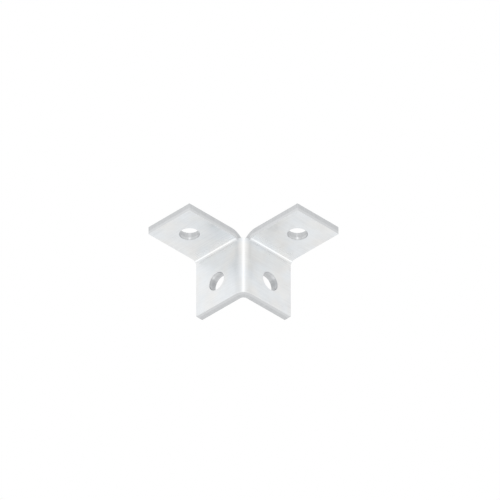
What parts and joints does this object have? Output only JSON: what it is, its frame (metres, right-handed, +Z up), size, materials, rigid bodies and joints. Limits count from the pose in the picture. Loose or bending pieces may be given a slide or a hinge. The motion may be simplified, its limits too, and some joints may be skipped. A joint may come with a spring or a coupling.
{
  "type": "strut channel fitting",
  "caption": "Bent steel plate that wraps the corner of an upright strut, with flanges turned out at the top that carry the beams and a round bolt hole in every face.",
  "frame": {"origin": "middle of the fitting's footprint box, level with the lower ends of the upright plates, on the mirror plane x = -y", "axes": "+Z up the post strut, from the plates' lower ends to the flanges; -Y out along the left flange; +X out along the right flange; the post strut stands on the -X, +Y side, its sharp corner line at x = -6.35 mm, y = 6.35 mm, and the beams rest at z = 54 mm"},
  "size_m": [0.0952, 0.0952, 0.054],
  "materials": {
    "plate": "satin zinc plate"
  },
  "bodies": {
    "root": {"corner_fitting": "plate"}
  },
  "joints": []
}
